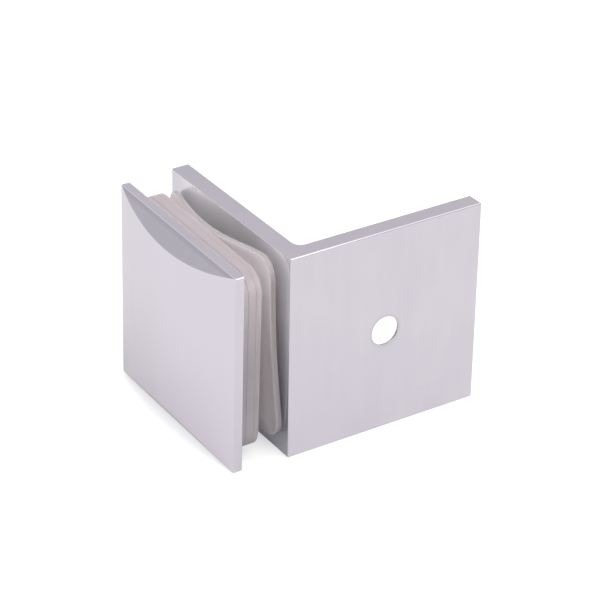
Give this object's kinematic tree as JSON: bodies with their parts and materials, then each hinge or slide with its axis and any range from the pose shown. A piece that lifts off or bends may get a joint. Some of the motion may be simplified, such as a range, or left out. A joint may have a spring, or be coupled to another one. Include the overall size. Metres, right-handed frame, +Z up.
{
  "type": "glass clamp",
  "caption": "Polished wall-to-glass clamp: an L-shaped bracket and a crowned front plate that a screw draws together on soft pads.",
  "frame": {"origin": "centre of the wall screw's hole, on the face that meets the wall", "axes": "+Y away from the wall, +Z up, +X along the wall away from the glass"},
  "size_m": [0.0664, 0.05, 0.05],
  "materials": {
    "polished_chrome": "polished",
    "screw_steel": "plain zinc-plated steel",
    "soft_vinyl": "pale translucent vinyl, satin"
  },
  "bodies": {
    "bracket": {"bracket": "polished_chrome", "back_pad": "soft_vinyl"},
    "screw": {"clamp_screw": "screw_steel"},
    "pads": {"front_pad_1": "soft_vinyl", "front_pad_2": "soft_vinyl", "front_pad_3": "soft_vinyl"},
    "plate": {"front_plate": "polished_chrome"}
  },
  "joints": [
    {"name": "screw_turn", "type": "hinge", "parent": "bracket", "child": "screw", "pos_m": [-0.0207, 0.025, 0], "axis": [1, 0, 0], "range_deg": [0, 2160]},
    {"name": "plate_travel", "type": "slide", "parent": "bracket", "child": "pads", "axis": [-1, 0, 0], "range_m": [0, 0.006]},
    {"name": "plate_swivel", "type": "hinge", "parent": "pads", "child": "plate", "pos_m": [-0.03625, 0.025, 0], "axis": [1, 0, 0], "continuous": true}
  ],
  "couplings": [
    {"joint": "screw_turn", "follows": "plate_travel", "rad_per_m": 6283}
  ]
}
